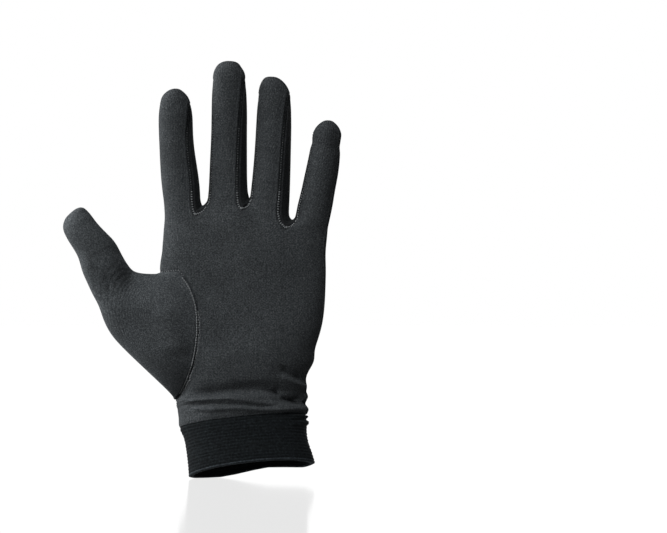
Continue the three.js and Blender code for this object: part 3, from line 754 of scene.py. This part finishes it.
# The cuff's height is kept as a weight, from 0 at its mouth to 1 at its seam: its ribs follow that. Sizes
# are in mm, shares are of that height, and the mouth's oval lies around its own centre. The back of the
# mouth droops by "droopBy" at the places across it that "droopAt" names. The gathers at the little
# finger's side are rows of how far out, how high and how wide.
cuff = {
    "height": 28, "radius": 29, "centre": (-1, 4), "half": (37, 19),
    "ribs": 15, "ribDepth": 0.15, "waleCount": 110, "waleDepth": 0.06, "cuts": 5, "fadeShare": 0.04,
    "welt": 0.5, "weltShare": 0.024, "full": 0.35, "tuck": 0.5, "tuckShare": 0.02, "rowsApart": 0.02,
    "droopAt": (-30, -18, -9, 2, 10, 20, 31, 37),
    "droopBy": (-0.4, -1.5, -1.0, 0.3, 1.0, 0.2, -0.8, -0.8), "droopFade": 8, "droopShare": 0.5,
    "gathers": ((1.9, 31, 2.2), (-0.7, 28.6, 0.9), (1.5, 26.6, 1.6)), "gathersFrom": 18, "gathersFade": 14,
    "joinFrom": 0.6,
}


def weighHeight(piece):
    # rows of vertices are counted from the mouth up, on the outside and the inside at once
    mesh = piece.data
    points = readPoints(piece)
    rimVerts = {v for f in mesh.polygons if f.material_index == 1 for v in f.vertices}
    middle = points[:, 2].mean()
    rows = {v: 0 for v in rimVerts if points[v][2] < middle}
    links = {}
    for edge in mesh.edges:
        a, b = edge.vertices
        links.setdefault(a, []).append(b)
        links.setdefault(b, []).append(a)
    front = list(rows)
    while front:
        following = []
        for v in front:
            for other in links[v]:
                if other not in rows:
                    rows[other] = rows[v] + 1
                    following.append(other)
        front = following
    top = max(rows.values())
    group = piece.vertex_groups.new(name="height")
    for v, row in rows.items():
        group.add([v], row / top, "REPLACE")


def makeCuff():
    piece = made["cuffCloth"]
    weighHeight(piece)
    piece.data.uv_layers.new(name=clothUv)
    applyModifier(piece, "SUBSURF", levels=2, render_levels=2)
    # more rows for the ribs: only the edges that run up the cuff are cut
    rows = readWeights(piece, "height")
    selectOnly(piece)
    bpy.ops.object.mode_set(mode="EDIT")
    bpy.ops.mesh.select_mode(type="EDGE")
    bpy.ops.mesh.select_all(action="DESELECT")
    bpy.ops.object.mode_set(mode="OBJECT")
    for edge in piece.data.edges:
        a, b = edge.vertices
        edge.select = bool(abs(rows[a] - rows[b]) > cuff["rowsApart"])
    bpy.ops.object.mode_set(mode="EDIT")
    bpy.ops.mesh.subdivide(number_cuts=cuff["cuts"], smoothness=0.0)
    bpy.ops.object.mode_set(mode="OBJECT")
    rows, share = readWeights(piece, "height"), readWeights(piece, "outside")
    points = readPoints(piece)
    normals = readNormals(piece)
    x, y, z = (points / mm).T
    (middleX, middleY), (halfX, halfY) = cuff["centre"], cuff["half"]
    turn = np.arctan2((y - middleY) / halfY, (x - middleX) / halfX)
    # the threads run a little unevenly, and the last ribs at either end fade into seam and welt
    spots = np.stack([3 * np.cos(turn), 3 * np.sin(turn), 9 * rows], axis=1)
    uneven = np.array([noise.noise(spot) for spot in spots])
    ends = np.clip(np.minimum(rows, 1 - rows) / cuff["fadeShare"], 0, 1)
    out = cuff["ribDepth"] * np.cos(2 * math.pi * cuff["ribs"] * rows) * (0.8 + 0.7 * uneven) * ends
    out += cuff["waleDepth"] * np.cos(cuff["waleCount"] * turn) * ends
    out += cuff["welt"] * np.exp(-(rows / cuff["weltShare"]) ** 2)
    out += np.where(share > 0.9, cuff["full"], 0) * ends
    out -= cuff["tuck"] * np.exp(-((1 - rows) / cuff["tuckShare"]) ** 2)
    points += normals * (out * mm)[:, None]
    # the back of the mouth droops a little unevenly
    droop = np.interp(x, cuff["droopAt"], cuff["droopBy"]) * np.clip((y - middleY) / cuff["droopFade"], 0, 1)
    points[:, 2] += droop * np.clip(1 - rows / cuff["droopShare"], 0, 1) ** 2 * mm
    # small gathers at the little finger's side, below the seam
    side = np.clip((x - cuff["gathersFrom"]) / cuff["gathersFade"], 0, 1)
    gathers = sum(far * np.exp(-((z - high) / wide) ** 2) for far, high, wide in cuff["gathers"])
    points[:, 0] += gathers * side * np.clip((1 - rows) / cuff["fadeShare"], 0.3, 1) * mm
    # near its seam the cuff moves with the hand's cloth
    lift = formMove(points) * np.clip((rows - cuff["joinFrom"]) / (1 - cuff["joinFrom"]), 0, 1)[:, None]
    writePoints(piece, points + lift)
    # the pattern's own map: along the cuff's round and up its height
    layer = piece.data.uv_layers[clothUv].data
    loopVerts = np.empty(len(piece.data.loops), int)
    piece.data.loops.foreach_get("vertex_index", loopVerts)
    around = turn[loopVerts]
    starts = [f.loop_start for f in piece.data.polygons]
    first = np.repeat(around[starts], [f.loop_total for f in piece.data.polygons])
    around = around - 2 * math.pi * np.round((around - first) / (2 * math.pi))
    uv = np.stack([around * cuff["radius"] * mm, rows[loopVerts] * cuff["height"] * mm], axis=1)
    layer.foreach_set("uv", uv.ravel())
    # the welt's faces at the mouth take the paler colours, a painted highlight along the rim
    for face in piece.data.polygons:
        if max(rows[v] for v in face.vertices) < cuff["weltShare"]:
            face.material_index = 1
    piece.vertex_groups.clear()
    for finish in (elasticRib, paintedRimHighlight, elasticRib):
        piece.data.materials.append(finish)
    print("  made cuffCloth with", len(piece.data.polygons), "faces")


makeCuff()

# Stitches, in mm. Beside the thumb's seam they lie along it, as two rows of short bars; round the strips
# and at the web they cross the groove. A row is kept between its low and high, where its own piece is the
# nearest neighbour and no further off than nearSeam. The palm's side is told apart at sideProbe.
nearSeam, sideProbe = 1.6, 1.5
stitchColumns = ("name", "beside", "low", "high", "pitch", "length", "width", "offset", "lift", "across")
strips = ("indexMiddleStrip", "middleRingStrip", "ringLittleStrip")
stitchRows = [dict(zip(stitchColumns, row)) for row in (
    ("thumb's own row", ("thumbCloth",), 43, 113, 1.5, 1.7, 0.95, 1.2, 0.25, False),
    ("palm's row", ("thumbCloth",), 43, 92, 1.5, 1.7, 0.95, -1.35, 0.25, False),
    ("at the web", ("thumbCloth",), 113, 200, 1.5, 1.0, 0.5, 0, 0.15, True),
    ("round the strips' feet", strips, 0, 163, 1.45, 1.5, 0.9, 0, 0.5, True),
    ("up the strips", strips, 163, 200, 1.45, 1.0, 0.5, 0, 0.25, True),
)]


def seamLoops(seam):
    # the seam's edges put in order, as closed loops of points
    keyed = {}
    places = {}
    for a, b in seam:
        ka, kb = (tuple(np.round(p, 6)) for p in (a, b))
        places[ka], places[kb] = a, b
        keyed.setdefault(ka, []).append(kb)
        keyed.setdefault(kb, []).append(ka)
    loops = []
    left = set(keyed)
    while left:
        start = min(left)
        loop = [start]
        left.discard(start)
        while True:
            ahead = [k for k in keyed[loop[-1]] if k in left]
            if not ahead:
                break
            loop.append(ahead[0])
            left.discard(ahead[0])
        loops.append(np.array([places[k] for k in loop + [start]]))
    return loops


def walkLine(line, pitch):
    # evenly spaced points along a line and the line's direction at each
    steps = np.linalg.norm(np.diff(line, axis=0), axis=1)
    reached = np.concatenate([[0], np.cumsum(steps)])
    at = np.arange(0, reached[-1], pitch)
    spots = np.stack([np.interp(at, reached, line[:, i]) for i in range(3)], axis=1)
    ways = np.roll(spots, -1, axis=0) - np.roll(spots, 1, axis=0)
    return spots, ways / np.linalg.norm(ways, axis=1)[:, None]


def outsideSurface(piece):
    outside = [f.vertices[:] for f in piece.data.polygons if f.material_index == 0]
    return BVHTree.FromPolygons(readPoints(piece).tolist(), outside)


def placeStitch(row, place, way, palm, neighbour):
    # a stitch's own three axes and its centre, for a place on the seam between two pieces
    near, far = palm.find_nearest(place), neighbour.find_nearest(place)
    middle = np.array((near[0] + far[0]) / 2)
    outwards = np.array((near[1] + far[1]).normalized())
    # across the seam, away from the palm panel
    side = np.cross(way, outwards)
    side /= np.linalg.norm(side)
    ahead = palm.find_nearest(middle + side * sideProbe * mm)[3]
    behind = palm.find_nearest(middle - side * sideProbe * mm)[3]
    if ahead < behind:
        side = -side
    carrier = neighbour if row["offset"] > 0 else palm
    spot, normal = carrier.find_nearest(middle + side * row["offset"] * mm)[:2]
    up = outwards if row["across"] else np.array(normal)
    long = side if row["across"] else way
    long = long - up * (long @ up)
    long /= np.linalg.norm(long)
    return np.stack([long, np.cross(up, long), up]), np.array(spot) + up * row["lift"] * mm


def makeStitches():
    trees = {name: seamTree(seam) for name, seam in seams.items() if name != "palmCloth"}
    surfaces = {name: outsideSurface(piece) for name, piece in made.items()}
    # a bead one unit across, which each stitch stretches to its own size
    selectOnly(made["palmCloth"])
    bpy.ops.mesh.primitive_ico_sphere_add(subdivisions=1, radius=0.5)
    bead = bpy.context.object
    shape = readPoints(bead)
    faces = np.array([f.vertices[:] for f in bead.data.polygons])
    allPoints, allFaces = [], []
    for row in stitchRows:
        for loop in seamLoops(seams["palmCloth"]):
            spots, ways = walkLine(loop, row["pitch"] * mm)
            cloudAndPaintedTone = spots + formMove(spots)
            for spot, place, way in zip(spots, cloudAndPaintedTone, ways):
                beside = min(trees, key=lambda each: trees[each].find(spot)[2])
                if beside not in row["beside"] or trees[beside].find(spot)[2] > nearSeam * mm:
                    continue
                if not row["low"] * mm <= spot[2] < row["high"] * mm:
                    continue
                axes, centre = placeStitch(row, place, way, surfaces["palmCloth"], surfaces[beside])
                size = np.array([row["length"], row["width"], row["width"]]) * mm
                allFaces.append(faces + len(shape) * len(allPoints))
                allPoints.append((shape * size) @ axes + centre)
    mesh = bpy.data.meshes.new("seamStitches")
    mesh.from_pydata(np.concatenate(allPoints).tolist(), [], np.concatenate(allFaces).tolist())
    piece = bpy.data.objects.new("seamStitches", mesh)
    bpy.context.collection.objects.link(piece)
    for face in mesh.polygons:
        face.use_smooth = True
    mesh.materials.append(seamThread)
    bpy.data.objects.remove(bead)
    print("  made seamStitches,", len(allPoints), "stitches")
    return piece


stitches = makeStitches()

# every piece hangs from the root, and the solid it was made from is hidden
for name, piece in made.items():
    settings = cutPieces[name]
    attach(piece, "root")
    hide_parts(settings["node"])
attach(stitches, "root")
print("cut pieces ready")
